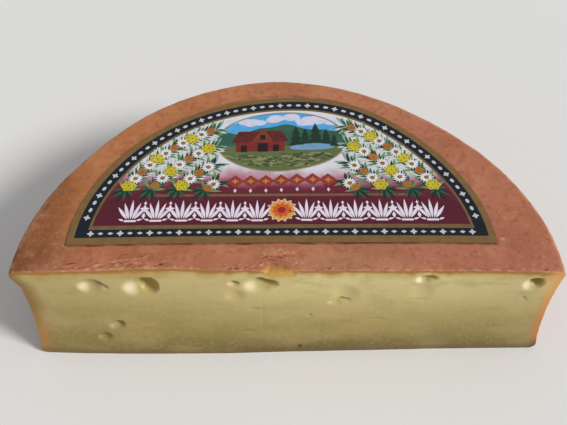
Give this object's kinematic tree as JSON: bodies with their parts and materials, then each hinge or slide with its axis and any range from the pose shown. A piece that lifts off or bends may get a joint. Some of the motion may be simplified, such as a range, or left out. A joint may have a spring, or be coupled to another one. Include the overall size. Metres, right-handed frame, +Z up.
{
  "type": "abondance half wheel",
  "caption": "Half of a round pressed mountain cheese with washed rind, concave heel, small eyes on the flat cut face and a half-round paper label on top.",
  "frame": {"origin": "on the base, at the middle of the footprint's bounding box", "axes": "+X along the straight cut, +Y from the cut face to the back of the round heel, +Z up through the label"},
  "size_m": [0.38, 0.196, 0.0903],
  "materials": {
    "rind_and_paste": "matt cheese: brown-orange rind, pale yellow paste at the cut",
    "label_paper": "semi-matt printed paper"
  },
  "bodies": {
    "root": {"cheese_half_wheel": "rind_and_paste", "paper_label": "label_paper"}
  },
  "joints": []
}
